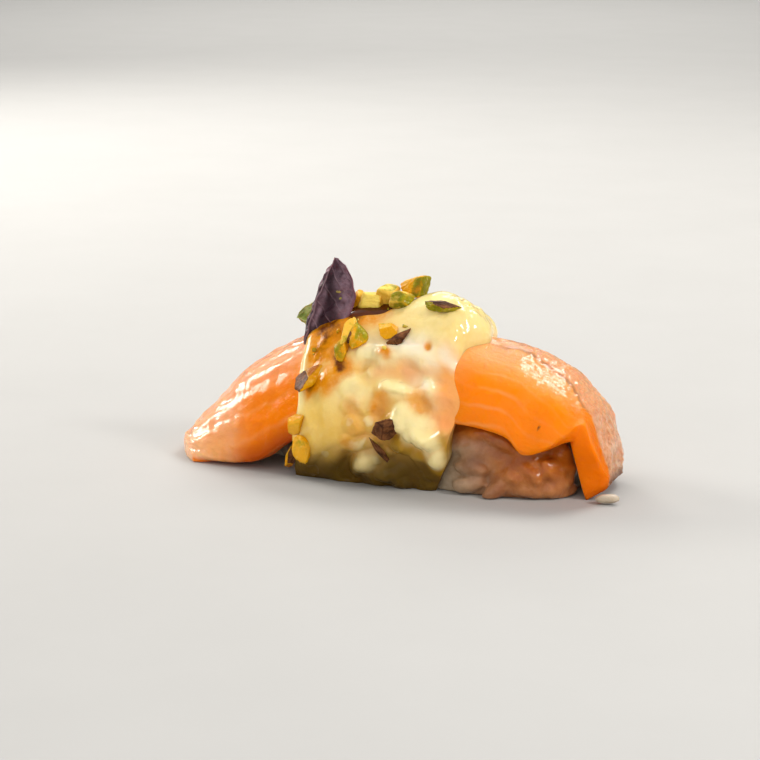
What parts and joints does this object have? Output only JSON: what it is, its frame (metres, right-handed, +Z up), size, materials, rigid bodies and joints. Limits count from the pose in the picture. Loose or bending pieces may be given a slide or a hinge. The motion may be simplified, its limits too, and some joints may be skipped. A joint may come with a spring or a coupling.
{
  "type": "salmon nigiri",
  "caption": "Salmon nigiri: a thick slice of raw salmon draped over a rice ball, with cream sauce, chopped nuts and small basil leaves.",
  "frame": {"origin": "middle of the rice ball's flat base, on the surface that the nigiri stands on", "axes": "+X along the nigiri to the blunt flap, +Y to the back, +Z up; the sauce runs down the front, -Y"},
  "size_m": [0.0793, 0.0318, 0.0363],
  "materials": {
    "salmon": "wet raw salmon, translucent orange with pale fat lines",
    "rice": "moist cooked rice, white and slightly translucent",
    "cream_sauce": "glossy pale yellow cream sauce",
    "pistachio": "chopped nut, yellow to green with brown skin",
    "glaze": "thin brown glaze run over the sauce",
    "purple_leaf": "dark purple basil leaf, satin",
    "green_leaf": "young green basil leaf"
  },
  "bodies": {
    "root": {"salmon_slice": "salmon", "rice": "rice", "cream_sauce": "cream_sauce", "purple_leaf": "purple_leaf", "green_leaf": "green_leaf"}
  },
  "joints": []
}
